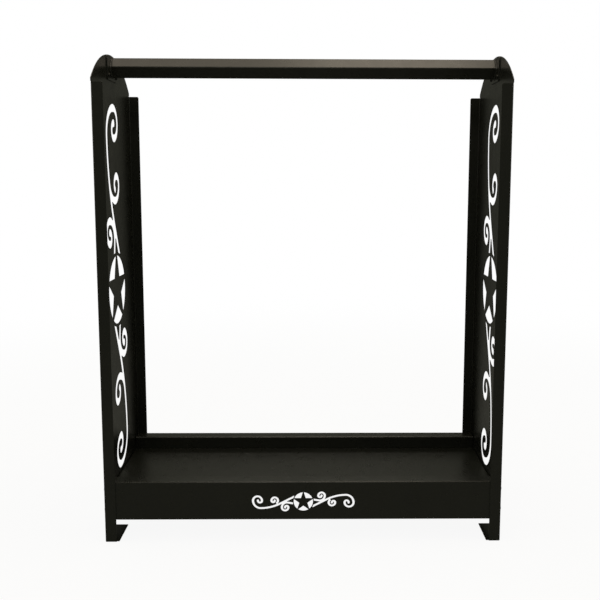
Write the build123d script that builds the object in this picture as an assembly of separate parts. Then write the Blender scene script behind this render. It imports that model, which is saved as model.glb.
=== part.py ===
from build123d import *
import math
import os

# Firewood rack of folded steel sheet: two arched side panels, a pierced base panel at the
# front and one at the rear, a sunk log deck between them and a square top rail set on edge.
# Millimetres, X to the right, Y to the rear, Z up. The origin is on the floor, in the
# middle of the rack.

# Overall sizes
WIDTH = 1016.0          # over the outer faces of the side panels
DEPTH = 406.0           # over the front and rear flanges
ARCH_SPRING = 1166.0    # height where the arched top of a side panel starts
ARCH_RISE = 78.6        # height of the arch over that line at mid depth

# Sheet and how it is folded
SHEET = 2.0
BEND = 2.0              # inside radius of every fold
RELIEF = 1.5            # width of the slits that free one fold from the next
SEAT_GAP = 0.5          # clearance of a folded end beside the sheet it faces

# Side panels
SIDE_FLANGE = 29.0      # width of the front and rear flanges
FLANGE_DROP = 9.5       # flange top below the start of the arch
FLANGE_CORNER = 4.0     # rounded free corner at the flange top
LEG_DEPTH = 101.6       # depth of each leg, front to back
LEG_CORNER = 18.0       # rounded corner where the leg meets the cut between the legs
FOOT_WIDTH = 35.5       # width of the foot flange on the floor

# Base panels, front and rear
BASE_BOTTOM = 57.2      # height of the lower edge over the floor
BASE_HEIGHT = 101.6
LEDGE = 40.0            # depth of the ledge along the top
DECK_DROP = 35.6        # log deck below the ledge
LIP = 18.0              # lip under the edge of the deck
BASE_RETURN = 20.0      # stiffening return along the lower edge
TAB_DEPTH = 25.0        # end tab bolted to the side panel
TAB_MARGIN = 8.0        # tab shorter than the face at top and bottom

# Log deck and its stiffeners
DECK_FLANGE = 24.0      # turned-down ends, bolted to the side panels
DECK_EDGE_GAP = 3.0     # deck end flange short of the lips
STIFFENER_WIDTH = 30.0
STIFFENER_HEIGHT = 20.0
STIFFENER_X = 169.0     # stiffeners from the middle of the deck

# Top rail, square tube on edge, with an end plate welded to each end
RAIL_SIDE = 38.1
RAIL_WALL = 1.6
RAIL_CORNER = 3.2       # outside corner radius of the tube
RAIL_DROP = 32.2        # tube centre below the crown of the arch
PLATE_THICK = 3.0
PLATE_ABOVE = 28.5      # plate top above the tube centre
PLATE_MARGIN = 12.0     # plate edge beyond the bolt centres
PLATE_CORNER = 9.0

# Bolts, studs, washers and nuts, all one size
BOLT_D = 6.0
BOLT_HOLE_D = 6.6
HEAD_D = 10.5
HEAD_H = 3.3
HEAD_CHAMFER = 1.5
STUD_HEAD_D = 8.2       # flat head of a stud pressed flush into the deck
STUD_HEAD_H = 1.4
WASHER_D = 12.0
WASHER_BORE = 6.4
WASHER_T = 1.6
NUT_AF = 10.0
NUT_H = 5.0
FIT_GAP = 0.05          # radial gap inside a nut and round a pressed stud
BOLT_LENGTH = 12.0      # shank of every bolt
STUD_LENGTH = 12.0
RAIL_BOLT_Y = 38.0      # rail bolts in front of and behind the tube centre
RAIL_BOLT_DROP = 22.0   # rail bolts below the tube centre
TAB_BOLT_INSET = 15.5   # tab bolts behind the face of the base panel
TAB_BOLT_MARGIN = 16.0  # tab bolts from the ends of the tab
DECK_BOLT_Y = 110.0     # deck end bolts from mid depth
DECK_BOLT_RISE = 10.0   # deck end bolts above the lower edge of the end flange
STUD_X = 340.0          # outer studs from the middle of the deck
STUD_INSET = 7.5        # studs from the front and rear edges of the deck

# Pierced star and scroll, at the size it has on a base panel: what both kinds share
STROKE = 5.5            # width of the scroll's cut
RING_R = 24.7           # ring of five openings round the star
STAR_R = 28.2           # points of the star, past the ring so that they hold it
BRIDGE = 2.3            # metal left between the ring and the scroll
LOW_CURL_START = (-25.0, -5.2)
LOW_CURL_HEADING = 170.6
LOW_CURL_TURN_R = 13.0
LOW_CURL_R = 8.3
CURL_EYE_R = 4.2
EYE_TURN = 190.0        # how far the eye of a curl winds in

# Scroll of a base panel
STEM_START = (-22.6, 13.3)
STEM_SLOPE = 27.0
STEM_RUN = 42.0
BELLY_R = 107.5         # long shallow curve of the stem
TURN_R = 20.0           # end of the stem turning up
END_CURL_R = 11.5
END_EYE_R = 5.2
TOP_CURL_START = (-69.5, -4.8)
TOP_CURL_R = 8.3
LOW_CURL_RUN = 15.1     # straight start of the curl next to the star
BASE_MOTIF_RISE = 48.4  # star's centre above the lower edge of a base panel

# Scroll of a side panel before it is scaled up: a flatter stem with a wider curl on it
SIDE_STEM_START = (-22.6, 10.4)
SIDE_STEM_SLOPE = 28.3
SIDE_STEM_RUN = 25.0
SIDE_BELLY_R = 136.5
SIDE_TURN_R = 20.4
SIDE_END_CURL_R = 10.7
SIDE_END_EYE_R = 5.4
SIDE_CURL_START = (-76.0, -13.6)
SIDE_CURL_HEADING = 14.1
SIDE_CURL_TURN_R = 15.6
SIDE_CURL_TOP_R = 11.3
SIDE_CURL_R = 6.3
SIDE_CURL_EYE_R = 3.8
SIDE_EYE_TURN = 60.0
SIDE_LOW_CURL_RUN = 10.6

# Place of the large star and scroll on a side panel
MOTIF_OVER_DECK = 7.0
MOTIF_UNDER_FLANGE = 35.5

# Worked out from the sizes above
OUTER_BEND = BEND + SHEET
MID_BEND = BEND + SHEET / 2
WEB_OUT = WIDTH / 2
WEB_IN = WEB_OUT - SHEET
WEB_MID = WEB_OUT - SHEET / 2
FRONT = -DEPTH / 2
CROWN = ARCH_SPRING + ARCH_RISE
FLANGE_TOP = ARCH_SPRING - FLANGE_DROP
BASE_TOP = BASE_BOTTOM + BASE_HEIGHT
DECK_TOP = BASE_TOP - DECK_DROP
BASE_FACE = FRONT + SHEET
LEDGE_BACK = BASE_FACE + LEDGE
LIP_BACK = LEDGE_BACK + LIP
DECK_HALF_DEPTH = -(LEDGE_BACK + BEND + SEAT_GAP)
DECK_FLANGE_HALF = -(LIP_BACK + DECK_EDGE_GAP)
RAIL_Z = CROWN - RAIL_DROP
RAIL_BOLT_Z = RAIL_Z - RAIL_BOLT_DROP
TAB_LOW = BASE_BOTTOM + TAB_MARGIN
TAB_HIGH = BASE_TOP - TAB_MARGIN
DECK_BOLT_Z = DECK_TOP - DECK_FLANGE + DECK_BOLT_RISE
SIDE_STEM_RAD = math.radians(SIDE_STEM_SLOPE)
SIDE_STEM_REACH = SIDE_STEM_RUN * math.cos(SIDE_STEM_RAD) + SIDE_BELLY_R * math.sin(SIDE_STEM_RAD)
SCROLL_HALF = -SIDE_STEM_START[0] + SIDE_STEM_REACH + SIDE_TURN_R + STROKE / 2
BIG_MOTIF_LOW = DECK_TOP + MOTIF_OVER_DECK
BIG_MOTIF_HIGH = FLANGE_TOP - MOTIF_UNDER_FLANGE
BIG_MOTIF_SCALE = (BIG_MOTIF_HIGH - BIG_MOTIF_LOW) / (2 * SCROLL_HALF)
BIG_MOTIF_Z = (BIG_MOTIF_HIGH + BIG_MOTIF_LOW) / 2


def block(x0, x1, y0, y1, z0, z1):
    """Box between two corners"""
    centre = Pos((x0 + x1) / 2, (y0 + y1) / 2, (z0 + z1) / 2)
    return centre * Box(abs(x1 - x0), abs(y1 - y0), abs(z1 - z0))


def folded_strip(points):
    """Section of a folded sheet whose mid line runs through the points"""
    return trace(FilletPolyline(*points, radius=MID_BEND), line_width=SHEET)


def drilled(part, places, direction):
    """Part with a bolt hole through the sheet at each place, along the direction"""
    for place in places:
        part = part - Plane(origin=place, z_dir=direction) * Cylinder(BOLT_HOLE_D / 2, 4 * SHEET)
    return part


def stroke(start, heading, moves):
    """Cut of the stroke's width; a move is (length, 0) or (radius, turn to the left)"""
    x, y = start
    half = STROKE / 2
    pieces = []
    for size, turn in moves:
        if turn == 0:
            across = Vector(-math.sin(math.radians(heading)), math.cos(math.radians(heading))) * half
            ahead = Vector(math.cos(math.radians(heading)), math.sin(math.radians(heading))) * size
            near = Vector(x, y)
            far = near + ahead
            pieces.append(make_face(Polyline(near - across, far - across, far + across,
                                             near + across, near - across)))
            x, y = far.X, far.Y
            continue
        side = math.copysign(1, turn)
        first = heading - 90 * side
        centre_x = x - size * math.cos(math.radians(first))
        centre_y = y - size * math.sin(math.radians(first))
        outer = CenterArc((centre_x, centre_y), size + half, first, turn)
        inner = CenterArc((centre_x, centre_y), size - half, first, turn)
        ends = [Line(outer @ 0, inner @ 0), Line(outer @ 1, inner @ 1)]
        pieces.append(make_face([outer, inner] + ends))
        heading = heading + turn
        x = centre_x + size * math.cos(math.radians(first + turn))
        y = centre_y + size * math.sin(math.radians(first + turn))
    pieces.append(Pos(x, y) * Circle(half))
    return Sketch() + pieces


def star_and_scroll(scroll, low_run, star_angle):
    """Openings round the star, one point of it at the angle, with the scroll on both sides"""
    low_curl = stroke(LOW_CURL_START, LOW_CURL_HEADING,
                      [(low_run, 0), (LOW_CURL_TURN_R, 270 - LOW_CURL_HEADING),
                       (LOW_CURL_R, 180), (CURL_EYE_R, EYE_TURN)])
    half = scroll + low_curl - Circle(RING_R + BRIDGE)
    notch_r = STAR_R * math.cos(math.radians(72)) / math.cos(math.radians(36))
    corners = []
    for step in range(10):
        angle = math.radians(star_angle + 36 * step)
        reach = notch_r if step % 2 else STAR_R
        corners.append((reach * math.cos(angle), reach * math.sin(angle)))
    openings = Circle(RING_R) - make_face(Polyline(*corners, corners[0]))
    return half + Rot(0, 0, 180) * half + openings


def base_motif():
    """Openings of the ornament of a base panel, centred on the star"""
    stem = stroke(STEM_START, 180 + STEM_SLOPE,
                  [(STEM_RUN, 0), (BELLY_R, -STEM_SLOPE), (TURN_R, -90),
                   (END_CURL_R, -180), (END_EYE_R, -EYE_TURN)])
    top_curl = stroke(TOP_CURL_START, STEM_SLOPE,
                      [(TOP_CURL_R, 270 - STEM_SLOPE), (CURL_EYE_R, EYE_TURN)])
    return star_and_scroll(stem + top_curl, LOW_CURL_RUN, 90)


def side_motif():
    """Openings of the ornament of a side panel, centred on the star, before scaling"""
    stem = stroke(SIDE_STEM_START, 180 + SIDE_STEM_SLOPE,
                  [(SIDE_STEM_RUN, 0), (SIDE_BELLY_R, -SIDE_STEM_SLOPE), (SIDE_TURN_R, -90),
                   (SIDE_END_CURL_R, -180), (SIDE_END_EYE_R, -EYE_TURN)])
    curl = stroke(SIDE_CURL_START, SIDE_CURL_HEADING,
                  [(SIDE_CURL_TURN_R, 90 - SIDE_CURL_HEADING), (SIDE_CURL_TOP_R, 90),
                   (SIDE_CURL_R, 180), (SIDE_CURL_EYE_R, SIDE_EYE_TURN)])
    return star_and_scroll(stem + curl, SIDE_LOW_CURL_RUN, 180)


def panel_bolt_places():
    """Bolt centres on a side panel as (y, z), one list for each piece bolted to it"""
    tab_y = -BASE_FACE - TAB_BOLT_INSET
    tab_z = (TAB_LOW + TAB_BOLT_MARGIN, TAB_HIGH - TAB_BOLT_MARGIN)
    return {
        "rail": [(y, RAIL_BOLT_Z) for y in (-RAIL_BOLT_Y, RAIL_BOLT_Y)],
        "base": [(y, z) for y in (-tab_y, tab_y) for z in tab_z],
        "deck": [(y, DECK_BOLT_Z) for y in (-DECK_BOLT_Y, DECK_BOLT_Y)],
    }


def stud_places():
    """Centres of the studs that hold the edges of the deck to the lips, as (x, y)"""
    row = DECK_HALF_DEPTH - STUD_INSET
    return [(x, y) for y in (-row, row) for x in (-STUD_X, 0, STUD_X)]


def side_panel_left():
    """Arched sheet with front and rear flanges, legs, foot flanges and the large ornament"""
    flange_end = WEB_OUT - SIDE_FLANGE
    edge = -FRONT - SHEET / 2
    section = folded_strip([(-flange_end, -edge), (-WEB_MID, -edge),
                            (-WEB_MID, edge), (-flange_end, edge)])
    panel = extrude(section, FLANGE_TOP)

    # Rounded free corners at the tops of the flanges
    round_x = -flange_end - FLANGE_CORNER
    round_z = FLANGE_TOP - FLANGE_CORNER
    corner = block(round_x, -flange_end, -DEPTH, DEPTH, round_z, FLANGE_TOP)
    round_off = Plane(origin=(round_x, 0, round_z), z_dir=(0, 1, 0))
    panel = panel - (corner - round_off * Cylinder(FLANGE_CORNER, 2 * DEPTH))

    # Head above the flanges, full depth, with slits under its corners
    head_low = FLANGE_TOP + RELIEF
    half = -FRONT
    outline = [Line((-half, head_low), (half, head_low)),
               Line((half, head_low), (half, ARCH_SPRING)),
               ThreePointArc((half, ARCH_SPRING), (0, CROWN), (-half, ARCH_SPRING)),
               Line((-half, ARCH_SPRING), (-half, head_low))]
    head_plane = Plane(origin=(-WEB_OUT, 0, 0), x_dir=(0, 1, 0), z_dir=(1, 0, 0))
    head = extrude(head_plane * make_face(outline), SHEET)
    neck = half - OUTER_BEND
    panel = panel + head + block(-WEB_OUT, -WEB_IN, -neck, neck, FLANGE_TOP - RELIEF, head_low + RELIEF)

    # Foot flanges folded in from the bottom of the legs
    panel = panel - block(-WEB_OUT, -WEB_IN, -neck, neck, 0, OUTER_BEND)
    foot_section = folded_strip([(-WEB_MID, 2 * OUTER_BEND), (-WEB_MID, SHEET / 2),
                                 (-WEB_OUT + FOOT_WIDTH, SHEET / 2)])
    foot_front = FRONT + OUTER_BEND + RELIEF
    foot_run = LEG_DEPTH - OUTER_BEND - RELIEF
    for start in (foot_front, -foot_front - foot_run):
        foot_plane = Plane(origin=(0, start + foot_run, 0), x_dir=(1, 0, 0), z_dir=(0, -1, 0))
        panel = panel + extrude(foot_plane * foot_section, foot_run)

    # Flat of each foot carried on to the side flange
    nose_y = -FRONT - SHEET - SEAT_GAP
    nose_x = -WEB_OUT + OUTER_BEND + RELIEF
    for side in (-1, 1):
        panel = panel + block(nose_x, -WEB_OUT + FOOT_WIDTH, side * nose_y, side * -foot_front, 0, SHEET)

    # Cut between the legs, level with the base panels' lower edge, with rounded upper corners
    leg_in = half - LEG_DEPTH
    between = Rectangle(2 * leg_in, 2 * BASE_BOTTOM)
    between = fillet(between.vertices().group_by(Axis.Y)[-1], LEG_CORNER)
    cut_plane = Plane(origin=(-WEB_OUT - SHEET, 0, 0), x_dir=(0, 1, 0), z_dir=(1, 0, 0))
    panel = panel - extrude(cut_plane * between, 3 * SHEET)

    # Large star and scroll, seen from inside the rack with its first curl at the top
    motif = scale(side_motif(), BIG_MOTIF_SCALE)
    motif_plane = Plane(origin=(-WEB_OUT - SHEET, 0, BIG_MOTIF_Z), x_dir=(0, 0, -1), z_dir=(1, 0, 0))
    panel = panel - extrude(motif_plane * motif, 3 * SHEET)

    places = [(-WEB_OUT, y, z) for joint in panel_bolt_places().values() for y, z in joint]
    return drilled(panel, places, (1, 0, 0))


def base_panel_front():
    """Folded panel with a ledge, a step down to the deck's lip, end tabs and the ornament"""
    face_mid = BASE_FACE + SHEET / 2
    section = folded_strip([(BASE_FACE + BASE_RETURN, BASE_BOTTOM + SHEET / 2),
                            (face_mid, BASE_BOTTOM + SHEET / 2),
                            (face_mid, BASE_TOP - SHEET / 2),
                            (LEDGE_BACK - SHEET / 2, BASE_TOP - SHEET / 2),
                            (LEDGE_BACK - SHEET / 2, DECK_TOP - 1.5 * SHEET),
                            (LIP_BACK, DECK_TOP - 1.5 * SHEET)])
    reach = WEB_IN - BEND
    panel = extrude(Plane(origin=(-reach, 0, 0), x_dir=(0, 1, 0), z_dir=(1, 0, 0)) * section, 2 * reach)

    tab_section = folded_strip([(-WEB_IN + 2 * OUTER_BEND, face_mid), (-WEB_IN + SHEET / 2, face_mid),
                                (-WEB_IN + SHEET / 2, BASE_FACE + TAB_DEPTH)])
    tab = Pos(0, 0, TAB_LOW) * extrude(tab_section, TAB_HIGH - TAB_LOW)
    fold_zone = block(-WEB_IN, -WEB_IN + OUTER_BEND, BASE_FACE, BASE_FACE + SHEET,
                      TAB_LOW - RELIEF, TAB_HIGH + RELIEF)
    panel = panel - fold_zone - mirror(fold_zone, Plane.YZ)
    panel = panel + tab + mirror(tab, Plane.YZ)

    motif_plane = Plane(origin=(0, BASE_FACE + 2 * SHEET, BASE_BOTTOM + BASE_MOTIF_RISE),
                        x_dir=(1, 0, 0), z_dir=(0, -1, 0))
    panel = panel - extrude(motif_plane * base_motif(), 3 * SHEET)

    tabs = [(y, z) for y, z in panel_bolt_places()["base"] if y < 0]
    panel = drilled(panel, [(side * WEB_IN, y, z) for side in (-1, 1) for y, z in tabs], (1, 0, 0))
    return drilled(panel, [(x, y, DECK_TOP - 2 * SHEET) for x, y in stud_places() if y < 0], (0, 0, 1))


def deck_pan():
    """Log deck: a flat sheet on the lips, with its two ends turned down"""
    mid_x = WEB_IN - SHEET / 2
    low = DECK_TOP - DECK_FLANGE
    mid_z = DECK_TOP - SHEET / 2
    section = folded_strip([(-mid_x, low), (-mid_x, mid_z), (mid_x, mid_z), (mid_x, low)])
    middle = Plane(origin=(0, DECK_FLANGE_HALF, 0), x_dir=(1, 0, 0), z_dir=(0, -1, 0))
    deck = extrude(middle * section, 2 * DECK_FLANGE_HALF)
    sheet_x = WEB_IN - OUTER_BEND
    deck = deck + block(-sheet_x, sheet_x, -DECK_HALF_DEPTH, DECK_HALF_DEPTH, DECK_TOP - SHEET, DECK_TOP)
    for x, y in stud_places():
        deck = deck - Pos(x, y, DECK_TOP) * (Cylinder(BOLT_D / 2 + FIT_GAP, 4 * SHEET)
                                             + Cylinder(STUD_HEAD_D / 2 + FIT_GAP, 2 * STUD_HEAD_H))
    ends = panel_bolt_places()["deck"]
    return drilled(deck, [(side * WEB_IN, y, z) for side in (-1, 1) for y, z in ends], (1, 0, 0))


def deck_stiffener(x):
    """Channel spot-welded under the deck, from lip to lip"""
    half = (STIFFENER_WIDTH - SHEET) / 2
    top = DECK_TOP - 1.5 * SHEET
    low = DECK_TOP - SHEET - STIFFENER_HEIGHT
    section = folded_strip([(x - half, low), (x - half, top), (x + half, top), (x + half, low)])
    start = Plane(origin=(0, DECK_FLANGE_HALF, 0), x_dir=(1, 0, 0), z_dir=(0, -1, 0))
    return extrude(start * section, 2 * DECK_FLANGE_HALF)


def top_rail():
    """Square tube set on edge, between the two end plates"""
    bore = RAIL_SIDE - 2 * RAIL_WALL
    tube = RectangleRounded(RAIL_SIDE, RAIL_SIDE, RAIL_CORNER)
    tube = tube - RectangleRounded(bore, bore, RAIL_CORNER - RAIL_WALL)
    half = WEB_IN - PLATE_THICK
    start = Plane(origin=(-half, 0, RAIL_Z), x_dir=(0, 1, 0), z_dir=(1, 0, 0))
    return extrude(start * (Rot(0, 0, 45) * tube), 2 * half)


def rail_end_plate_left():
    """Rounded plate welded to the end of the rail and bolted to the side panel"""
    low = -RAIL_BOLT_DROP - PLATE_MARGIN
    width = 2 * (RAIL_BOLT_Y + PLATE_MARGIN)
    outline = Pos(0, (PLATE_ABOVE + low) / 2) * RectangleRounded(width, PLATE_ABOVE - low, PLATE_CORNER)
    for y in (-RAIL_BOLT_Y, RAIL_BOLT_Y):
        outline = outline - Pos(y, -RAIL_BOLT_DROP) * Circle(BOLT_HOLE_D / 2)
    panel_face = Plane(origin=(-WEB_IN, 0, RAIL_Z), x_dir=(0, 1, 0), z_dir=(1, 0, 0))
    return extrude(panel_face * outline, PLATE_THICK)


def shank(length):
    """Round shank upwards from the origin"""
    return extrude(Circle(BOLT_D / 2), length)


def bolt(length):
    """Bolt with its head below the seat at the origin and its shank upwards"""
    head = extrude(Circle(HEAD_D / 2), -HEAD_H)
    return chamfer(head.edges().group_by(Axis.Z)[0], HEAD_CHAMFER) + shank(length)


def stud(length):
    """Flush stud with the top of its flat head at the origin and its shank upwards"""
    return extrude(Circle(STUD_HEAD_D / 2), STUD_HEAD_H) + shank(length)


def washer():
    """Flat washer, lower face at the origin"""
    return extrude(Circle(WASHER_D / 2) - Circle(WASHER_BORE / 2), WASHER_T)


def nut():
    """Hexagon nut, lower face at the origin"""
    hexagon = RegularPolygon(NUT_AF / 2, 6, major_radius=False)
    return extrude(hexagon - Circle(BOLT_D / 2 + FIT_GAP), NUT_H)


def fastened(seats, fastener, grip):
    """Fasteners, washers and nuts at seats given as (point, direction), through the grip"""
    fasteners = []
    washers = []
    nuts = []
    for point, direction in seats:
        seat = Plane(origin=point, z_dir=direction)
        fasteners.append(seat * fastener)
        washers.append(seat * Pos(0, 0, grip) * washer())
        nuts.append(seat * Pos(0, 0, grip + WASHER_T) * nut())
    return fasteners, washers, nuts


def side_seats(places, x, direction):
    """Seats for bolts at x beside both side panels, pointing inwards (-1) or outwards (1)"""
    return [((side * x, y, z), (side * direction, 0, 0)) for side in (-1, 1) for y, z in places]


def write(name, shapes):
    """One STEP file for a node, of one solid or of a group of separate solids"""
    if isinstance(shapes, list):
        shapes = Compound(children=shapes)
    shapes.label = name
    export_step(shapes, os.path.join("parts", name + ".step"))


os.makedirs("parts", exist_ok=True)
half_turn = Rot(0, 0, 180)

left_panel = side_panel_left()
write("side_panel_left", left_panel)
write("side_panel_right", half_turn * left_panel)

front_base = base_panel_front()
write("base_panel_front", front_base)
write("base_panel_rear", half_turn * front_base)

write("deck_pan", deck_pan())
write("deck_stiffener_left", deck_stiffener(-STIFFENER_X))
write("deck_stiffener_right", deck_stiffener(STIFFENER_X))

write("top_rail", top_rail())
left_plate = rail_end_plate_left()
write("rail_end_plate_left", left_plate)
write("rail_end_plate_right", half_turn * left_plate)

places = panel_bolt_places()
stud_seats = [((x, y, DECK_TOP), (0, 0, -1)) for x, y in stud_places()]
joints = {
    "rail_bolt": fastened(side_seats(places["rail"], WEB_IN - PLATE_THICK, 1), bolt(BOLT_LENGTH),
                          SHEET + PLATE_THICK),
    "base_bolt": fastened(side_seats(places["base"], WEB_OUT, -1), bolt(BOLT_LENGTH), 2 * SHEET),
    "deck_bolt": fastened(side_seats(places["deck"], WEB_OUT, -1), bolt(BOLT_LENGTH), 2 * SHEET),
    "deck_stud": fastened(stud_seats, stud(STUD_LENGTH), 2 * SHEET),
}
for joint, (fasteners, washers, nuts) in joints.items():
    write(joint + "s", fasteners)
    write(joint + "_washers", washers)
    write(joint + "_nuts", nuts)
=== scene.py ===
"""Firewood rack: the finishes, fasteners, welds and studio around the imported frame."""

import math

import bmesh
import bpy
from bpy.props import FloatProperty, FloatVectorProperty, IntProperty, PointerProperty
from mathutils import Matrix, Vector, noise


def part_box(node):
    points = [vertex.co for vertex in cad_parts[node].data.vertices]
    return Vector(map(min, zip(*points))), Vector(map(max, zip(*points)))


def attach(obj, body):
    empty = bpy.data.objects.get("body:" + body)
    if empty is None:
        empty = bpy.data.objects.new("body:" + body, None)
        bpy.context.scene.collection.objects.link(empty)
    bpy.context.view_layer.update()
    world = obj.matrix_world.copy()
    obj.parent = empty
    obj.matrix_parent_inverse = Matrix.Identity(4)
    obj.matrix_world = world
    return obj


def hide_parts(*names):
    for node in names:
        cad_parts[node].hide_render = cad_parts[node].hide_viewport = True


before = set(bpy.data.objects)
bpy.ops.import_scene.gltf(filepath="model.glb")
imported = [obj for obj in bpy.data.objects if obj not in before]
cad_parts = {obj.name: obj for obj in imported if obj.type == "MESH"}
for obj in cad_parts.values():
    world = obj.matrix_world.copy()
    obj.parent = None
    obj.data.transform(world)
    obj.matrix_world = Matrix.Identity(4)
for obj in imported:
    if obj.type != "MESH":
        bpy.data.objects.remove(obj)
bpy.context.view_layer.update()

bl_info = {
    "name": "Firewood rack",
    "version": (1, 0, 0),
    "blender": (4, 5, 0),
    "location": "3D View > Sidebar > Rack",
    "description": "Dresses the steel firewood rack and sets up its studio",
    "category": "Object",
}

MM = 0.001
MICRON = 1e-6

SIDE_PANELS = ("side_panel_left", "side_panel_right")
BASE_PANELS = ("base_panel_front", "base_panel_rear")
STIFFENERS = ("deck_stiffener_left", "deck_stiffener_right")
DECK_SHEETS = ("deck_pan", *STIFFENERS)
RAIL_STEEL = ("top_rail", "rail_end_plate_left", "rail_end_plate_right")
BOLT_GROUPS = ("rail_bolt", "base_bolt", "deck_bolt")
STUD_GROUP = "deck_stud"
NUT_GROUPS = (*BOLT_GROUPS, STUD_GROUP)

# Sizes that the frame's own solids have, so the detailed pieces keep them.
HEAD_HEIGHT = 3.3 * MM
HEAD_RADIUS = 5.25 * MM
STUD_HEAD_HEIGHT = 1.4 * MM
STUD_HEAD_RADIUS = 4.1 * MM
WASHER_BORE_RADIUS = 3.2 * MM
TUBE_CORNER = 3.0 * MM

# The form of a metric thread: its depth as a share of the pitch, the slope up to its crest,
# the turns over which its end tapers off, how much narrower it gets there, the chamfer of the
# shank's tip, and the rings that draw one turn.
THREAD_DEPTH = 0.61
CREST_SLOPE = 1.25
TAPER_TURNS = 0.8
TAPER_SHARE = 0.16
TIP_CHAMFER = 0.25 * MM
THREAD_STEPS = 8

# Steps round the print of a spot weld, and the angle past which an edge is shaded sharp.
SPOT_FACETS = 36
SHARP_ANGLE = math.radians(35)

# Sockets of Blender's colour mix, whose names repeat.
MIX_SHARE, MIX_FIRST, MIX_SECOND = 0, 6, 7
MIX_RESULT = 2

# The part of its range from 0 to 1 that Blender's noise nearly always keeps to.
NOISE_LOW, NOISE_HIGH = 0.25, 0.75

# The floor, and how far from the rack it starts and ends turning as white as the surround.
FLOOR_RADIUS = 30.0
FLOOR_FACETS = 96
GLOW_NEAR, GLOW_FAR = 0.9, 4.0

# Colours of the light from over the rack and from round it.
WARM = "#fff0da"
PALE = "#fffaea"

# Name, power setting, size, place, aim and colour of each softbox, in metres.
LAMPS = (
    ("overhead_box", "overhead_watts", (3.1, 1.5), (0.05, 0.05, 3.0), (0.05, 0.05, 0.0), WARM),
    ("overhead_spot", "spot_watts", (0.8, 1.5), (0.36, 0.05, 2.95), (0.36, 0.05, 0.0), WARM),
    ("front_key", "key_watts", (1.6, 1.0), (-0.2, -3.4, 3.1), (0.0, 0.0, 0.6), PALE),
    ("side_left", "side_watts", (1.4, 1.8), (-3.2, -0.6, 1.8), (0.0, 0.0, 0.6), PALE),
    ("side_right", "side_watts", (1.4, 1.8), (3.2, -0.6, 1.8), (0.0, 0.0, 0.6), PALE),
    ("rear_lamp", "rear_watts", (2.0, 1.2), (0.0, 3.2, 3.0), (0.0, 0.0, 0.5), PALE),
)


def linear(code):
    """An sRGB hex colour as linear RGBA."""
    channels = [int(code[i : i + 2], 16) / 255 for i in (1, 3, 5)]
    rgb = [c / 12.92 if c <= 0.04045 else ((c + 0.055) / 1.055) ** 2.4 for c in channels]
    return (*rgb, 1.0)


def add_node(tree, kind, settings=None, links=None):
    """Adds a node.

    settings are its own options or its sockets' values, and links are its sockets' sources.
    """
    node = tree.nodes.new(kind)
    for name, value in (settings or {}).items():
        if isinstance(name, str) and hasattr(node, name):
            setattr(node, name, value)
        else:
            node.inputs[name].default_value = value
    for name, source in (links or {}).items():
        tree.links.new(source, node.inputs[name])
    return node


def empty_tree(owner):
    """The node tree of a material or a world, cleared."""
    owner.use_nodes = True
    owner.node_tree.nodes.clear()
    return owner.node_tree


class RackFinish(bpy.types.PropertyGroup):
    """Colours and surface of the coat and the plating."""

    coat_colour: FloatVectorProperty(
        name="Coat",
        description="Main colour of the powder coat",
        subtype="COLOR",
        size=4,
        min=0,
        max=1,
        default=linear("#12130e"),
    )
    coat_patch_colour: FloatVectorProperty(
        name="Coat, lighter patches",
        description="Colour of the coat where it lies a little thinner",
        subtype="COLOR",
        size=4,
        min=0,
        max=1,
        default=linear("#191a14"),
    )
    coat_roughness: FloatProperty(
        name="Coat roughness",
        description="How satin the powder coat is, from 0, mirror, to 1, matt",
        subtype="FACTOR",
        min=0,
        max=1,
        default=0.3,
    )
    gloss_drift: FloatProperty(
        name="Gloss drift",
        description="How far the coat's roughness drifts to either side",
        subtype="FACTOR",
        min=0,
        max=1,
        default=0.04,
    )
    peel_size: FloatProperty(
        name="Orange peel",
        description="Width of one swell of the baked powder's orange peel",
        unit="LENGTH",
        min=0.5 * MM,
        default=3.5 * MM,
    )
    peel_height: FloatProperty(
        name="Orange peel height",
        description="Height between the swells and the hollows of the orange peel",
        unit="LENGTH",
        min=0,
        default=0.05 * MM,
    )
    edge_round: FloatProperty(
        name="Edge rounding",
        description="Radius that the coat gives the cut edges of the sheet",
        unit="LENGTH",
        min=0,
        default=0.45 * MM,
    )
    zinc_colour: FloatVectorProperty(
        name="Plating",
        description="Main colour of the black zinc plating",
        subtype="COLOR",
        size=4,
        min=0,
        max=1,
        default=linear("#3a3a3c"),
    )
    zinc_tint: FloatVectorProperty(
        name="Plating, olive tint",
        description="Colour of the plating where its passivation is thicker",
        subtype="COLOR",
        size=4,
        min=0,
        max=1,
        default=linear("#34342c"),
    )


class RackFasteners(bpy.types.PropertyGroup):
    """Sizes of the M6 hardware that the frame's plain solids leave out."""

    thread_diameter: FloatProperty(
        name="Thread", description="Outer diameter of the thread", unit="LENGTH", default=6.0 * MM
    )
    thread_pitch: FloatProperty(
        name="Pitch", description="Rise of the thread in one turn", unit="LENGTH", default=1.0 * MM
    )
    socket_flats: FloatProperty(
        name="Socket", description="Width of the hexagon socket", unit="LENGTH", default=4.0 * MM
    )
    socket_depth: FloatProperty(
        name="Socket depth",
        description="Depth of the hexagon socket",
        unit="LENGTH",
        default=1.9 * MM,
    )
    facets: IntProperty(
        name="Facets",
        description="Steps round each fastener, a multiple of 12",
        min=24,
        default=48,
    )


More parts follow.
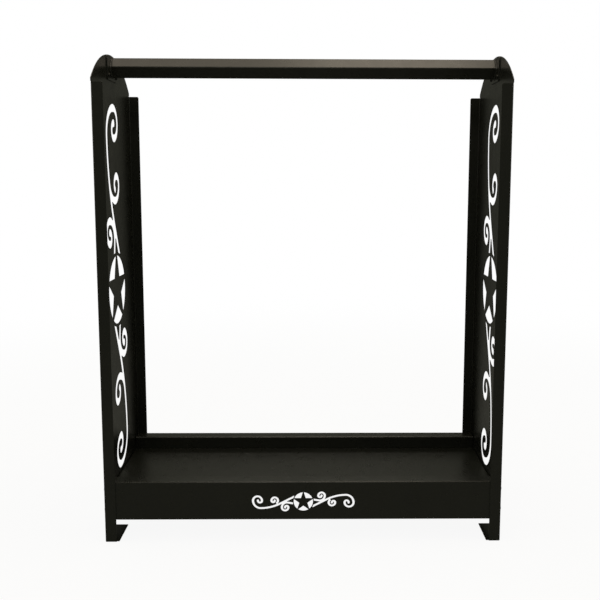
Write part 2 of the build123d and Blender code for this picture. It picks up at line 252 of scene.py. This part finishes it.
class RackWelds(bpy.types.PropertyGroup):
    """Sizes of the fillet welds on the rail and the spot welds of the deck."""

    bead_leg: FloatProperty(
        name="Bead leg",
        description="Leg of the rail's fillet weld",
        unit="LENGTH",
        default=2.6 * MM,
    )
    ripple: FloatProperty(
        name="Ripple",
        description="Distance between two ripples of the bead",
        unit="LENGTH",
        default=2.2 * MM,
    )
    spot_diameter: FloatProperty(
        name="Spot weld",
        description="Diameter of a spot weld's print",
        unit="LENGTH",
        default=6.5 * MM,
    )
    spots: IntProperty(
        name="Spots", description="Spot welds along each stiffener", min=2, default=5
    )


class RackStudio(bpy.types.PropertyGroup):
    """Light and floor of the studio."""

    overhead_watts: FloatProperty(
        name="Overhead box",
        description="Power of the softbox over the rack",
        unit="POWER",
        min=0,
        default=20.0,
    )
    spot_watts: FloatProperty(
        name="Overhead spot",
        description="Power of the smaller box right of the middle",
        unit="POWER",
        min=0,
        default=6.0,
    )
    key_watts: FloatProperty(
        name="Key",
        description="Power of the high lamp in front",
        unit="POWER",
        min=0,
        default=20.5,
    )
    side_watts: FloatProperty(
        name="Sides",
        description="Power of each lamp beside the rack",
        unit="POWER",
        min=0,
        default=14.0,
    )
    rear_watts: FloatProperty(
        name="Rear",
        description="Power of the lamp behind the rack",
        unit="POWER",
        min=0,
        default=12.0,
    )
    ambient: FloatVectorProperty(
        name="Ambient",
        description="Colour of the even light from the room",
        subtype="COLOR",
        size=4,
        min=0,
        max=1,
        default=linear("#a7a69c"),
    )
    mirrored: FloatVectorProperty(
        name="Mirrored surround",
        description="How bright glossy surfaces mirror the white surround",
        subtype="COLOR",
        size=4,
        min=0,
        max=1,
        default=linear("#58584f"),
    )
    floor_glow: FloatProperty(
        name="Floor glow",
        description="Share of the floor by the rack that is plain white and takes no shadow",
        subtype="FACTOR",
        min=0,
        max=1,
        default=0.92,
    )
    floor_colour: FloatVectorProperty(
        name="Floor",
        description="Colour of the floor",
        subtype="COLOR",
        size=4,
        min=0,
        max=1,
        default=linear("#efefed"),
    )


def powder_coat():
    """Satin black polyester powder coat, sprayed on dry and baked.

    It gives the eye a deep black that turns charcoal under the softbox, with broad soft
    highlights, a faint orange peel, and cut edges that the coat has rounded enough to draw a thin
    line of light.
    """
    name = "powder_coat_satin_black_baked"
    made = bpy.data.materials.get(name)
    if made:
        return made
    finish = bpy.context.scene.rack_finish
    mat = bpy.data.materials.new(name)
    tree = empty_tree(mat)
    place = add_node(tree, "ShaderNodeTexCoord").outputs["Object"]
    # Film thickness drifts over about 140 mm, the width of one pass of the spray gun.
    pass_noise = add_node(
        tree, "ShaderNodeTexNoise", {"Scale": 1 / (140 * MM), "Detail": 2.0}, {"Vector": place}
    )
    shade = add_node(
        tree,
        "ShaderNodeMix",
        {
            "data_type": "RGBA",
            MIX_FIRST: finish.coat_colour,
            MIX_SECOND: finish.coat_patch_colour,
        },
        {MIX_SHARE: pass_noise.outputs["Fac"]},
    )
    # The gloss drifts over about 25 mm.
    gloss_noise = add_node(
        tree, "ShaderNodeTexNoise", {"Scale": 1 / (25 * MM), "Detail": 3.0}, {"Vector": place}
    )
    rough = add_node(
        tree,
        "ShaderNodeMapRange",
        {
            "From Min": NOISE_LOW,
            "From Max": NOISE_HIGH,
            "To Min": finish.coat_roughness - finish.gloss_drift,
            "To Max": finish.coat_roughness + finish.gloss_drift,
        },
        {"Value": gloss_noise.outputs["Fac"]},
    )
    # Real orange peel swells every 1 to 2 mm, drawn coarser so that it shows from the camera.
    peel = add_node(
        tree,
        "ShaderNodeTexNoise",
        {"Scale": 1 / finish.peel_size, "Detail": 2.0, "Roughness": 0.45},
        {"Vector": place},
    )
    edge = add_node(tree, "ShaderNodeBevel", {"samples": 4, "Radius": finish.edge_round})
    bump = add_node(
        tree,
        "ShaderNodeBump",
        {"Strength": 1.0, "Distance": finish.peel_height},
        {"Height": peel.outputs["Fac"], "Normal": edge.outputs["Normal"]},
    )
    shader = add_node(
        tree,
        "ShaderNodeBsdfPrincipled",
        {"Metallic": 0.0, "IOR": 1.5},
        {
            "Base Color": shade.outputs[MIX_RESULT],
            "Roughness": rough.outputs["Result"],
            "Normal": bump.outputs["Normal"],
        },
    )
    add_node(tree, "ShaderNodeOutputMaterial", None, {"Surface": shader.outputs["BSDF"]})
    return mat


def black_zinc():
    """Zinc plating with black passivation, barrel plated.

    It gives the eye a dark grey metal with a soft sheen, a little olive where the passivation is
    thick.
    """
    name = "black_zinc_barrel_plated"
    made = bpy.data.materials.get(name)
    if made:
        return made
    finish = bpy.context.scene.rack_finish
    mat = bpy.data.materials.new(name)
    tree = empty_tree(mat)
    place = add_node(tree, "ShaderNodeTexCoord").outputs["Object"]
    # The passivation clouds over about 4 mm, in its tint and in its gloss.
    cloud = add_node(
        tree, "ShaderNodeTexNoise", {"Scale": 1 / (4 * MM), "Detail": 3.0}, {"Vector": place}
    )
    shade = add_node(
        tree,
        "ShaderNodeMix",
        {"data_type": "RGBA", MIX_FIRST: finish.zinc_colour, MIX_SECOND: finish.zinc_tint},
        {MIX_SHARE: cloud.outputs["Fac"]},
    )
    rough = add_node(
        tree,
        "ShaderNodeMapRange",
        {"From Min": NOISE_LOW, "From Max": NOISE_HIGH, "To Min": 0.3, "To Max": 0.46},
        {"Value": cloud.outputs["Fac"]},
    )
    # Barrel plating leaves knocks about 0.6 mm wide and a hundredth of a millimetre deep.
    knocks = add_node(
        tree, "ShaderNodeTexNoise", {"Scale": 1 / (0.6 * MM), "Detail": 1.0}, {"Vector": place}
    )
    bump = add_node(
        tree,
        "ShaderNodeBump",
        {"Strength": 1.0, "Distance": 0.008 * MM},
        {"Height": knocks.outputs["Fac"]},
    )
    shader = add_node(
        tree,
        "ShaderNodeBsdfPrincipled",
        {"Metallic": 1.0},
        {
            "Base Color": shade.outputs[MIX_RESULT],
            "Roughness": rough.outputs["Result"],
            "Normal": bump.outputs["Normal"],
        },
    )
    add_node(tree, "ShaderNodeOutputMaterial", None, {"Surface": shader.outputs["BSDF"]})
    return mat


def coat_nodes(names):
    """Gives carried-over nodes the powder coat."""
    for name in names:
        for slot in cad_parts[name].material_slots:
            slot.material = powder_coat()


def place_piece(bm, name, material):
    """Turns a finished bmesh into a shaded piece that rides on the rack."""
    bmesh.ops.recalc_face_normals(bm, faces=bm.faces)
    mesh = bpy.data.meshes.new(name)
    bm.to_mesh(mesh)
    bm.free()
    mesh.materials.append(material)
    piece = bpy.data.objects.new(name, mesh)
    bpy.context.scene.collection.objects.link(piece)
    mesh.shade_smooth()
    mesh.set_sharp_from_angle(angle=SHARP_ANGLE)
    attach(piece, "root")
    return piece


def solids_of(node):
    """The (low, high) corners of each loose solid of a CAD node, in order along x, y, z."""
    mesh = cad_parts[node].data
    spots = [tuple(round(c / MICRON) for c in v.co) for v in mesh.vertices]
    parent = {spot: spot for spot in spots}

    def root_of(spot):
        while parent[spot] != spot:
            parent[spot] = parent[parent[spot]]
            spot = parent[spot]
        return spot

    for edge in mesh.edges:
        first, second = (root_of(spots[i]) for i in edge.vertices)
        parent[first] = second
    solids = {}
    for spot in spots:
        solids.setdefault(root_of(spot), []).append(spot)
    if not solids:
        raise RuntimeError(f"The frame's node {node} has no solids")
    boxes = []
    for solid in solids.values():
        low = Vector(min(spot[axis] for spot in solid) * MICRON for axis in range(3))
        high = Vector(max(spot[axis] for spot in solid) * MICRON for axis in range(3))
        boxes.append((low, high))
    return sorted(boxes, key=lambda box: tuple(round(c, 5) for c in (box[0] + box[1]) / 2))


def bolt_way(group, solid_low):
    """Direction from the head to the nut of a fastener whose box starts at that corner."""
    if group == STUD_GROUP:
        return Vector((0, 0, -1))
    outwards = 1 if solid_low.x > 0 else -1
    return Vector((outwards if group == "rail_bolt" else -outwards, 0, 0))


def plain_solids(group, node):
    """For each plain solid of a node: the middle of its first face, its way, length and width."""
    solids = []
    for low, high in solids_of(node):
        way = bolt_way(group, low)
        length = abs((high - low).dot(way))
        solids.append(((low + high) / 2 - way * length / 2, way, length, high.y - low.y))
    return solids


def replace_plain(bm, node):
    """Puts the finished fasteners in the place of the frame's plain ones."""
    piece = place_piece(bm, node + "_detailed", black_zinc())
    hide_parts(node)


def hexagon(flats):
    """Radius of a hexagon of that width at an angle, with corners at 0, 60, 120 degrees and on."""
    return lambda angle: flats / 2 / math.cos(angle % (math.pi / 3) - math.pi / 6)


def lathe(bm, rings, facets, where, axis, bored=False):
    """Skins rings of (radius, height) round an axis, capped at both ends, or bored through.

    A radius or a height may be a number or a function of the angle. In a bored one the last ring
    joins the first.
    """
    turn = Matrix.Translation(where) @ axis.to_track_quat("Z", "X").to_matrix().to_4x4()
    loops = []
    for radius, height in rings:
        loop = []
        for i in range(facets):
            angle = math.tau * i / facets
            r = radius(angle) if callable(radius) else radius
            h = height(angle) if callable(height) else height
            loop.append(bm.verts.new(turn @ Vector((r * math.cos(angle), r * math.sin(angle), h))))
        loops.append(loop)
    following = loops[1:] + loops[:1] if bored else loops[1:]
    for low, high in zip(loops, following):
        for i in range(facets):
            j = (i + 1) % facets
            bm.faces.new((low[i], low[j], high[j], high[i]))
    if not bored:
        bm.faces.new(reversed(loops[0]))
        bm.faces.new(loops[-1])


def arc_rings(centre_r, centre_h, radius, start, end, steps):
    """Rings along an arc of the profile, with angles in degrees from the outward direction."""
    rings = []
    for k in range(steps + 1):
        a = math.radians(start + (end - start) * k / steps)
        rings.append((centre_r + radius * math.cos(a), centre_h + radius * math.sin(a)))
    return rings


def thread_rings(start, end, settings):
    """Rings of a helical thread from start to end along the axis, tapered over its last turn."""
    pitch = settings.thread_pitch
    major = settings.thread_diameter / 2
    depth = THREAD_DEPTH * pitch
    count = max(2, round(abs(end - start) / pitch * THREAD_STEPS))
    rings = []
    for k in range(count + 1):
        height = start + (end - start) * k / count
        taper = max(0.0, 1 - abs(end - height) / (TAPER_TURNS * pitch))

        def radius(angle, height=height, taper=taper):
            phase = (height / pitch - angle / math.tau) % 1.0
            ridge = 1 - abs(2 * phase - 1)
            crest = min(1.0, ridge * CREST_SLOPE)
            return (major - depth + depth * crest) * (1 - TAPER_SHARE * taper)

        rings.append((radius, height))
    return rings


def shank_rings(thread_start, length, settings):
    """Rings of a shank from its chamfered tip up to where its thread starts."""
    core = settings.thread_diameter / 2 - THREAD_DEPTH * settings.thread_pitch
    return [(core - TIP_CHAMFER, -length), *reversed(thread_rings(thread_start, -length, settings))]


def button_head_bolt(bm, seat, axis, length, settings):
    """A button head with a hexagon socket, seated at that point, and a threaded shank behind it."""
    shank = settings.thread_diameter / 2
    thread_start, run_out = -3.6 * MM, 0.3 * MM
    neck_height, neck_flare = 0.05 * MM, 0.15 * MM
    rim_round = 0.25 * MM
    brow = 0.3 * MM
    crown, crown_inner = 2.95 * MM, 2.62 * MM
    socket_chamfer = 0.3 * MM
    drill_radius, drill_depth = 0.4 * MM, 0.55 * MM
    dome_steps = 8
    profile = shank_rings(thread_start, length, settings)
    profile += [(shank, thread_start + run_out), (shank, -neck_height), (shank + neck_flare, 0)]
    profile += [(HEAD_RADIUS - rim_round, 0)]
    profile += arc_rings(HEAD_RADIUS - rim_round, rim_round, rim_round, -60, 0, 2)
    # The dome is a flat arc from the rim up to the flat ring round the socket.
    for k in range(1, dome_steps):
        lean = math.pi / 2 * k / dome_steps
        inset = (HEAD_RADIUS - crown) * (1 - math.cos(lean))
        profile.append((HEAD_RADIUS - inset, brow + (HEAD_HEIGHT - brow) * math.sin(lean)))
    profile += [(crown, HEAD_HEIGHT), (crown_inner, HEAD_HEIGHT)]
    hole = hexagon(settings.socket_flats)
    floor = HEAD_HEIGHT - settings.socket_depth
    profile += [(hole, HEAD_HEIGHT - socket_chamfer), (hole, floor)]
    profile += [(drill_radius, floor - drill_depth)]
    lathe(bm, profile, settings.facets, seat, axis)


def clinch_stud(bm, seat, axis, length, settings):
    """A clinch stud: a flush disc head with a fine chamfer, and a threaded shank behind it."""
    shank = settings.thread_diameter / 2
    thread_start, run_out = -1.2 * MM, 0.3 * MM
    chamfer = 0.25 * MM
    dish_rim, dish_slope, dish_depth = 1.1 * MM, 0.15 * MM, 0.12 * MM
    dimple = 0.5 * MM
    profile = shank_rings(thread_start, length, settings)
    profile += [(shank, thread_start + run_out), (shank, 0.0), (STUD_HEAD_RADIUS, 0.0)]
    profile += [
        (STUD_HEAD_RADIUS, STUD_HEAD_HEIGHT - chamfer),
        (STUD_HEAD_RADIUS - chamfer, STUD_HEAD_HEIGHT),
        (STUD_HEAD_RADIUS - dish_rim, STUD_HEAD_HEIGHT),
        (STUD_HEAD_RADIUS - dish_rim - dish_slope, STUD_HEAD_HEIGHT - dish_depth),
        (dimple, STUD_HEAD_HEIGHT - dish_depth),
    ]
    lathe(bm, profile, settings.facets, seat, axis)


def plain_washer(bm, seat, axis, outer, thick, settings):
    """A punched washer, rounded over on its upper rims and square on its lower ones."""
    bore = WASHER_BORE_RADIUS
    burr, outer_break = 0.05 * MM, 0.1 * MM
    soft = 0.3 * MM
    profile = [(bore + burr, 0), (outer - outer_break, 0), (outer, outer_break)]
    profile += arc_rings(outer - soft, thick - soft, soft, 0, 90, 3)
    profile += arc_rings(bore + soft, thick - soft, soft, 90, 180, 3)
    profile += [(bore, burr)]
    lathe(bm, profile, settings.facets, seat, axis, bored=True)


def hexagon_nut(bm, seat, axis, flats, thick, settings):
    """A hexagon nut, chamfered at 30 degrees on both faces, with a countersunk bore."""
    side = hexagon(flats)
    crown_share, sink, thread_bite = 0.94, 0.45 * MM, 0.05 * MM
    crown = flats / 2 * crown_share
    slope = math.tan(math.radians(30))
    bore = settings.thread_diameter / 2 - thread_bite
    profile = [
        (bore + sink, 0),
        (crown, 0),
        (side, lambda a: (side(a) - crown) * slope),
        (side, lambda a: thick - (side(a) - crown) * slope),
        (crown, thick),
        (bore + sink, thick),
        (bore, thick - sink),
        (bore, sink),
    ]
    lathe(bm, profile, settings.facets, seat, axis, bored=True)


def rounded_square(half, corner, step):
    """Points and outward normals round a square on edge, with rounded corners, in the YZ plane."""
    points = []
    flat = half - corner
    for quarter in range(4):
        base = math.pi / 2 * quarter
        along = Vector((-math.sin(base), math.cos(base)))
        out = Vector((math.cos(base), math.sin(base)))
        count = max(2, round(2 * flat / step))
        for k in range(count):
            points.append((out * half + along * (-flat + 2 * flat * k / count), out))
        bends = max(3, round(corner * math.pi / 2 / step))
        for k in range(bends):
            turn = base + math.pi / 2 * k / bends
            way = Vector((math.cos(turn), math.sin(turn)))
            points.append((out * flat + along * flat + way * corner, way))
    spin = Matrix.Rotation(math.pi / 4, 2)
    return [(spin @ p, spin @ n) for p, n in points]


def weld_bead(bm, plate_x, inward, centre, half, settings):
    """A rippled fillet weld where the rail's tube meets its end plate."""
    steps_per_ripple, arc_steps = 6, 7
    ripple_depth, ripple_lag = 0.32 * MM, 0.45
    root, toe = 0.3 * MM, 0.15 * MM
    # The welder's hand lets the leg vary by a tenth over about 17 mm of travel, not alike at both
    # ends of the rail.
    hand_share, hand_waves, end_waves, hand_seed = 0.10, 60, 9, 0.4

    path = rounded_square(half, TUBE_CORNER, settings.ripple / steps_per_ripple)
    count = len(path)
    around = 0.0
    travelled = []
    for k, (p, _) in enumerate(path):
        travelled.append(around)
        around += (path[(k + 1) % count][0] - p).length
    ripples = round(around / settings.ripple)
    rows = []
    for (p, n), run in zip(path, travelled):
        row = []
        hand = noise.noise(Vector((run * hand_waves, plate_x * end_waves, hand_seed)))
        for a in range(arc_steps + 1):
            lean = math.pi / 2 * a / arc_steps
            lag = ripple_lag * math.sin(lean * 2)
            wave = math.sin(math.pi * (ripples * run / around - lag)) ** 2
            leg = settings.bead_leg * (1 + hand_share * hand) - ripple_depth * (1 - wave)
            out = n * (leg * math.cos(lean) - toe * (a == arc_steps))
            x = plate_x + inward * (leg * math.sin(lean) - toe * (a == 0))
            row.append(bm.verts.new((x, centre[0] + p.x + out.x, centre[1] + p.y + out.y)))
        back = p - n * root
        row.append(bm.verts.new((plate_x - inward * root, centre[0] + back.x, centre[1] + back.y)))
        rows.append(row)
    for k in range(count):
        row, following = rows[k], rows[(k + 1) % count]
        for a in range(len(row)):
            b = (a + 1) % len(row)
            bm.faces.new((row[a], row[b], following[b], following[a]))


def spot_weld(bm, where, diameter):
    """The print of a spot weld's electrode: a low ring raised round a shallow dish."""
    outer = diameter / 2
    profile = [
        (outer, -0.3 * MM),  # sunk into the deck, so that no gap shows
        (outer, 0.0),
        (outer - 0.35 * MM, 0.16 * MM),  # crest of the ring
        (outer - 0.8 * MM, 0.05 * MM),
        (outer - 1.1 * MM, 0.01 * MM),  # bottom of the dish
        (0.6 * MM, 0.03 * MM),
    ]
    lathe(bm, profile, SPOT_FACETS, where, Vector((0, 0, 1)))


class RACK_OT_side_panels(bpy.types.Operator):
    """Coats the two folded side panels"""

    bl_idname = "rack.side_panels"
    bl_label = "Side panels"

    def execute(self, context):
        coat_nodes(SIDE_PANELS)
        return {"FINISHED"}


class RACK_OT_base_panels(bpy.types.Operator):
    """Coats the front and rear base panels"""

    bl_idname = "rack.base_panels"
    bl_label = "Base panels"

    def execute(self, context):
        coat_nodes(BASE_PANELS)
        return {"FINISHED"}


class RACK_OT_log_deck(bpy.types.Operator):
    """Coats the deck and its stiffeners, and prints the spot welds on the deck"""

    bl_idname = "rack.log_deck"
    bl_label = "Log deck"

    def execute(self, context):
        welds = context.scene.rack_welds
        coat_nodes(DECK_SHEETS)
        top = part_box("deck_pan")[1].z
        bm = bmesh.new()
        for stiffener in STIFFENERS:
            low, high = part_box(stiffener)
            for k in range(welds.spots):
                along = low.y + (high.y - low.y) * (k + 0.5) / welds.spots
                spot_weld(bm, Vector(((low.x + high.x) / 2, along, top)), welds.spot_diameter)
        place_piece(bm, "deck_spot_welds", powder_coat())
        return {"FINISHED"}


class RACK_OT_top_rail(bpy.types.Operator):
    """Coats the rail and its end plates, and lays the weld beads round both ends of the tube"""

    bl_idname = "rack.top_rail"
    bl_label = "Top rail"

    def execute(self, context):
        coat_nodes(RAIL_STEEL)
        low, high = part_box("top_rail")
        centre = ((low.y + high.y) / 2, (low.z + high.z) / 2)
        # The tube stands on edge, and its rounded corners end short of a sharp square's.
        reach = (high.z - low.z) / 2
        half = (reach + TUBE_CORNER * (math.sqrt(2) - 1)) / math.sqrt(2)
        ends = (("rail_weld_left", low.x, 1), ("rail_weld_right", high.x, -1))
        for name, plate_x, inward in ends:
            bm = bmesh.new()
            weld_bead(bm, plate_x, inward, centre, half, context.scene.rack_welds)
            place_piece(bm, name, powder_coat())
        return {"FINISHED"}


class RACK_OT_bolts(bpy.types.Operator):
    """Makes the button-head bolts of the rail, the base panels and the deck"""

    bl_idname = "rack.bolts"
    bl_label = "Bolts"

    def execute(self, context):
        settings = context.scene.rack_fasteners
        for group in BOLT_GROUPS:
            node = group + "s"
            bm = bmesh.new()
            for top, way, length, _ in plain_solids(group, node):
                seat = top + way * HEAD_HEIGHT
                button_head_bolt(bm, seat, -way, length - HEAD_HEIGHT, settings)
            replace_plain(bm, node)
        return {"FINISHED"}


class RACK_OT_deck_studs(bpy.types.Operator):
    """Makes the clinch studs that hold the deck to the base panels"""

    bl_idname = "rack.deck_studs"
    bl_label = "Deck studs"

    def execute(self, context):
        settings = context.scene.rack_fasteners
        node = STUD_GROUP + "s"
        bm = bmesh.new()
        for top, way, length, _ in plain_solids(STUD_GROUP, node):
            seat = top + way * STUD_HEAD_HEIGHT
            clinch_stud(bm, seat, -way, length - STUD_HEAD_HEIGHT, settings)
        replace_plain(bm, node)
        return {"FINISHED"}


class RACK_OT_washers(bpy.types.Operator):
    """Makes the washers under the nuts"""

    bl_idname = "rack.washers"
    bl_label = "Washers"

    def execute(self, context):
        settings = context.scene.rack_fasteners
        for group in NUT_GROUPS:
            node = group + "_washers"
            bm = bmesh.new()
            for seat, way, thick, width in plain_solids(group, node):
                plain_washer(bm, seat, way, width / 2, thick, settings)
            replace_plain(bm, node)
        return {"FINISHED"}


class RACK_OT_nuts(bpy.types.Operator):
    """Makes the hexagon nuts"""

    bl_idname = "rack.nuts"
    bl_label = "Nuts"

    def execute(self, context):
        settings = context.scene.rack_fasteners
        for group in NUT_GROUPS:
            node = group + "_nuts"
            bm = bmesh.new()
            for seat, way, thick, width in plain_solids(group, node):
                hexagon_nut(bm, seat, way, width, thick, settings)
            replace_plain(bm, node)
        return {"FINISHED"}


def white_surround(tree, studio):
    """Adds the rays that see the surround, and its colour: white, but dimmer in glossy surfaces."""
    path = add_node(tree, "ShaderNodeLightPath")
    glossy = path.outputs["Is Glossy Ray"]
    seen = add_node(
        tree,
        "ShaderNodeMath",
        {"operation": "ADD", "use_clamp": True},
        {0: path.outputs["Is Camera Ray"], 1: path.outputs["Is Transmission Ray"]},
    )
    rays = add_node(
        tree,
        "ShaderNodeMath",
        {"operation": "ADD", "use_clamp": True},
        {0: seen.outputs["Value"], 1: glossy},
    )
    colour = add_node(
        tree,
        "ShaderNodeMix",
        {"data_type": "RGBA", MIX_FIRST: linear("#ffffff"), MIX_SECOND: studio.mirrored},
        {MIX_SHARE: glossy},
    )
    return rays.outputs["Value"], colour.outputs[MIX_RESULT]


def studio_world(studio):
    """White to the eye, an even dim room to matt surfaces."""
    world = bpy.data.worlds.new("studio_surround")
    bpy.context.scene.world = world
    tree = empty_tree(world)
    rays, colour = white_surround(tree, studio)
    shade = add_node(
        tree,
        "ShaderNodeMix",
        {"data_type": "RGBA", MIX_FIRST: studio.ambient},
        {MIX_SHARE: rays, MIX_SECOND: colour},
    )
    back = add_node(
        tree, "ShaderNodeBackground", {"Strength": 1.0}, {"Color": shade.outputs[MIX_RESULT]}
    )
    add_node(tree, "ShaderNodeOutputWorld", None, {"Surface": back.outputs["Background"]})


def studio_floor(studio):
    """Matt white painted floor, rolled: it gives the eye an even white with a faint shadow."""
    mat = bpy.data.materials.new("floor_paint_matt_white_rolled")
    tree = empty_tree(mat)
    rays, colour = white_surround(tree, studio)
    paint = add_node(tree, "ShaderNodeBsdfDiffuse", {"Color": studio.floor_colour})
    glow = add_node(tree, "ShaderNodeEmission", {"Strength": 1.0}, {"Color": colour})
    # Near the rack the floor still takes its shadow, and far off it is as white as the surround.
    place = add_node(tree, "ShaderNodeTexCoord").outputs["Object"]
    reach = add_node(tree, "ShaderNodeVectorMath", {"operation": "LENGTH"}, {0: place})
    glow_share = add_node(
        tree,
        "ShaderNodeMapRange",
        {
            "interpolation_type": "SMOOTHSTEP",
            "From Min": GLOW_NEAR,
            "From Max": GLOW_FAR,
            "To Min": studio.floor_glow,
            "To Max": 1.0,
        },
        {"Value": reach.outputs["Value"]},
    )
    share = add_node(
        tree,
        "ShaderNodeMath",
        {"operation": "MULTIPLY"},
        {0: rays, 1: glow_share.outputs["Result"]},
    )
    mix = add_node(
        tree,
        "ShaderNodeMixShader",
        None,
        {0: share.outputs["Value"], 1: paint.outputs["BSDF"], 2: glow.outputs["Emission"]},
    )
    add_node(tree, "ShaderNodeOutputMaterial", None, {"Surface": mix.outputs["Shader"]})
    bm = bmesh.new()
    bmesh.ops.create_circle(bm, cap_ends=True, radius=FLOOR_RADIUS, segments=FLOOR_FACETS)
    mesh = bpy.data.meshes.new("studio_floor")
    bm.to_mesh(mesh)
    bm.free()
    mesh.materials.append(mat)
    floor = bpy.data.objects.new("studio_floor", mesh)
    bpy.context.scene.collection.objects.link(floor)


def soft_lamp(name, watts, size, where, aim, colour):
    """A rectangular softbox, aimed at a point."""
    lamp = bpy.data.lights.new(name, "AREA")
    lamp.shape = "RECTANGLE"
    lamp.size, lamp.size_y = size
    lamp.energy = watts
    lamp.color = linear(colour)[:3]
    box = bpy.data.objects.new(name, lamp)
    bpy.context.scene.collection.objects.link(box)
    box.location = where
    box.rotation_euler = (Vector(aim) - Vector(where)).to_track_quat("-Z", "Y").to_euler()
    box.visible_camera = False


def photo_camera():
    """The camera where the photograph was taken from, in its pixels, radians and metres."""
    frame_px = 600
    focal_px, centre_x, centre_y = 821.61, 325.83, 279.26
    pitch, yaw, roll = 0.1284, 0.0138, 0.0027
    eye = (28.35 * MM, -2216.8 * MM, 940.5 * MM)
    data = bpy.data.cameras.new("photo_camera")
    data.sensor_width = 36.0
    data.lens = focal_px / frame_px * data.sensor_width
    data.shift_x = -(centre_x - frame_px / 2) / frame_px
    data.shift_y = (centre_y - frame_px / 2) / frame_px
    data.clip_start, data.clip_end = 0.05, 100.0
    camera = bpy.data.objects.new("photo_camera", data)
    bpy.context.scene.collection.objects.link(camera)
    turn = Matrix.Rotation(-yaw, 4, "Z") @ Matrix.Rotation(math.pi / 2 - pitch, 4, "X")
    camera.matrix_world = Matrix.Translation(eye) @ turn @ Matrix.Rotation(roll, 4, "Z")
    bpy.context.scene.camera = camera


class RACK_OT_studio(bpy.types.Operator):
    """Sets up the floor, the lamps, the surround and the camera"""

    bl_idname = "rack.studio"
    bl_label = "Studio"

    def execute(self, context):
        studio = context.scene.rack_studio
        studio_world(studio)
        studio_floor(studio)
        for name, power, size, where, aim, colour in LAMPS:
            soft_lamp(name, getattr(studio, power), size, where, aim, colour)
        photo_camera()
        context.scene.view_settings.view_transform = "Standard"
        return {"FINISHED"}


SETTINGS = {
    RackFinish: "rack_finish",
    RackFasteners: "rack_fasteners",
    RackWelds: "rack_welds",
    RackStudio: "rack_studio",
}

STEPS = (
    RACK_OT_side_panels,
    RACK_OT_base_panels,
    RACK_OT_log_deck,
    RACK_OT_top_rail,
    RACK_OT_bolts,
    RACK_OT_deck_studs,
    RACK_OT_washers,
    RACK_OT_nuts,
    RACK_OT_studio,
)


class RACK_PT_panel(bpy.types.Panel):
    """Lists the rack's settings and steps"""

    bl_idname = "RACK_PT_panel"
    bl_label = "Firewood rack"
    bl_space_type = "VIEW_3D"
    bl_region_type = "UI"
    bl_category = "Rack"

    def draw(self, context):
        for settings, name in SETTINGS.items():
            box = self.layout.box()
            for key in settings.__annotations__:
                box.prop(getattr(context.scene, name), key)
        for step in STEPS:
            self.layout.operator(step.bl_idname)


def register():
    for settings, name in SETTINGS.items():
        bpy.utils.register_class(settings)
        setattr(bpy.types.Scene, name, PointerProperty(type=settings))
    for kind in (*STEPS, RACK_PT_panel):
        bpy.utils.register_class(kind)


def unregister():
    for kind in reversed((*STEPS, RACK_PT_panel)):
        bpy.utils.unregister_class(kind)
    for settings, name in SETTINGS.items():
        delattr(bpy.types.Scene, name)
        bpy.utils.unregister_class(settings)


def main():
    register()
    for step in STEPS:
        group, name = step.bl_idname.split(".")
        getattr(getattr(bpy.ops, group), name)()


if __name__ == "__main__":
    main()
